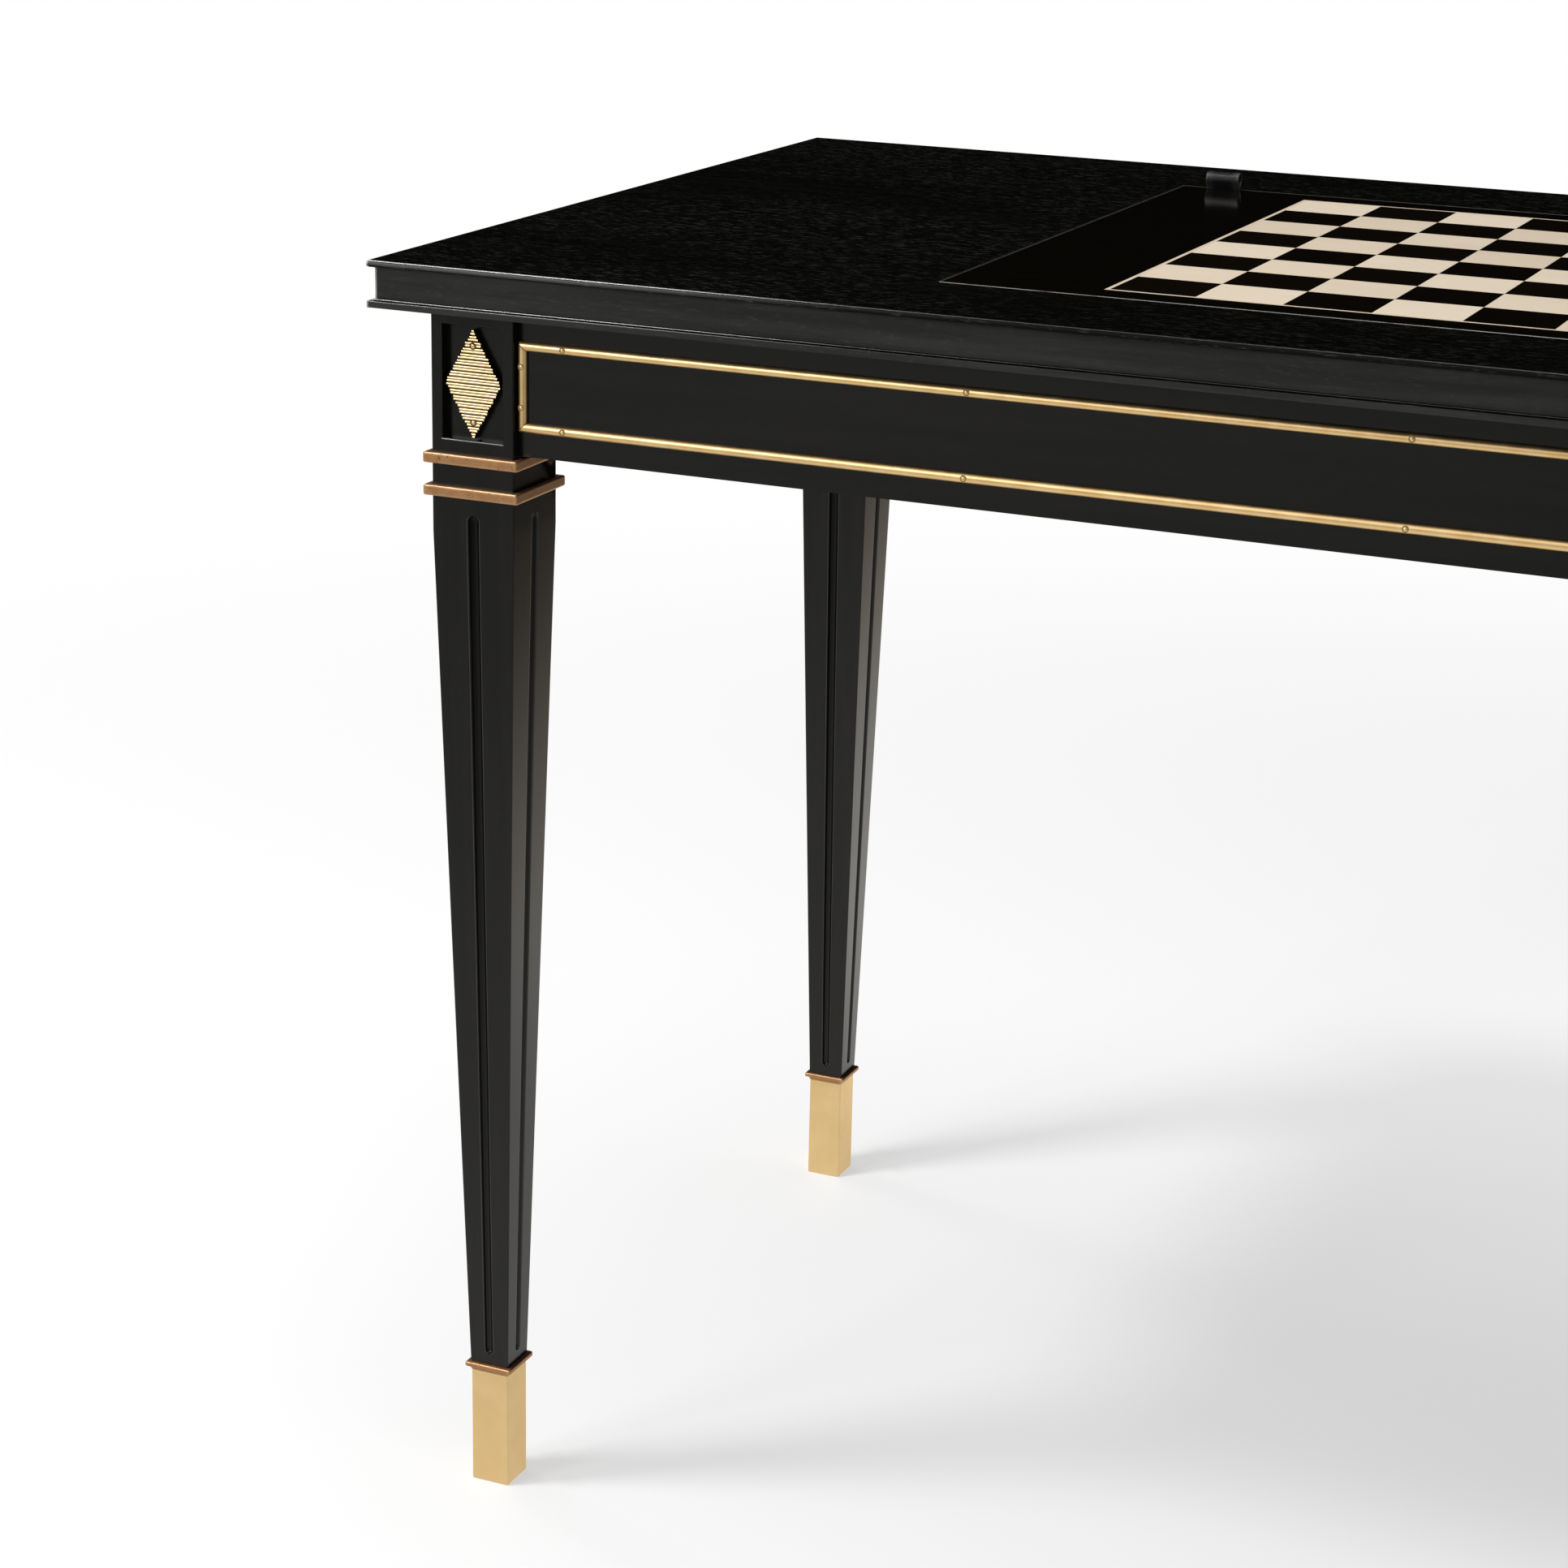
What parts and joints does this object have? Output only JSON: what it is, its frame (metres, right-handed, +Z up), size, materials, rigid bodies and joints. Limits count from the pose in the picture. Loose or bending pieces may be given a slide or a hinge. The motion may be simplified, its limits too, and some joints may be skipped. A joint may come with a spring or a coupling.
{
  "type": "games table",
  "caption": "Ebonised games table on tapered fluted legs, with brass frames and diamonds, and an inlaid chess panel that lifts out over a shallow games well.",
  "frame": {"origin": "on the floor, under the middle of the tabletop", "axes": "+Z up, +X along the length of the top, -Y towards the front, the side that the picture shows"},
  "size_m": [1.169, 0.627, 0.7729],
  "materials": {
    "ebonised_wood": "ebonised, open grain under a satin polish",
    "ebonised_panel": "ebonised, smooth and glossy",
    "maple": "pale veneer, satin polish",
    "polished_brass": "satin gold",
    "satin_brass": "flat pale satin",
    "copper_gilt": "warm copper gilt, slightly worn",
    "leather": "black, soft sheen",
    "felt": "matt baize"
  },
  "bodies": {
    "table": {"top_surround": "ebonised_wood", "rail_front": "ebonised_wood", "rail_right": "ebonised_wood", "rail_back": "ebonised_wood", "rail_left": "ebonised_wood", "leg_front_left": "ebonised_wood", "leg_front_right": "ebonised_wood", "leg_back_right": "ebonised_wood", "leg_back_left": "ebonised_wood", "upper_collar_front_left": "copper_gilt", "upper_collar_front_right": "copper_gilt", "upper_collar_back_right": "copper_gilt", "upper_collar_back_left": "copper_gilt", "lower_collar_front_left": "copper_gilt", "lower_collar_front_right": "copper_gilt", "lower_collar_back_right": "copper_gilt", "lower_collar_back_left": "copper_gilt", "foot_collar_front_left": "copper_gilt", "foot_collar_front_right": "copper_gilt", "foot_collar_back_right": "copper_gilt", "foot_collar_back_left": "copper_gilt", "sabot_front_left": "satin_brass", "sabot_front_right": "satin_brass", "sabot_back_right": "satin_brass", "sabot_back_left": "satin_brass", "diamond_front_left_facing_front": "polished_brass", "diamond_front_left_facing_left": "polished_brass", "diamond_front_right_facing_right": "polished_brass", "diamond_front_right_facing_front": "polished_brass", "diamond_back_right_facing_back": "polished_brass", "diamond_back_right_facing_right": "polished_brass", "diamond_back_left_facing_left": "polished_brass", "diamond_back_left_facing_back": "polished_brass", "brass_front_top": "polished_brass", "brass_front_bottom": "polished_brass", "brass_front_left": "polished_brass", "brass_front_right": "polished_brass", "brass_right_top": "polished_brass", "brass_right_bottom": "polished_brass", "brass_right_left": "polished_brass", "brass_right_right": "polished_brass", "brass_back_top": "polished_brass", "brass_back_bottom": "polished_brass", "brass_back_left": "polished_brass", "brass_back_right": "polished_brass", "brass_left_top": "polished_brass", "brass_left_bottom": "polished_brass", "brass_left_left": "polished_brass", "brass_left_right": "polished_brass", "well_frame": "ebonised_wood", "well_floor": "ebonised_wood", "well_lining": "felt", "centre_bar": "ebonised_wood"},
    "chess_panel": {"game_panel": "ebonised_panel", "maple_inlay": "maple", "dark_squares": "ebonised_panel", "pull_tab_left": "leather", "pull_tab_right": "leather"}
  },
  "joints": [
    {"name": "panel_lift", "type": "slide", "parent": "table", "child": "chess_panel", "axis": [0, 0, 1], "range_m": [0, 0.15]}
  ]
}
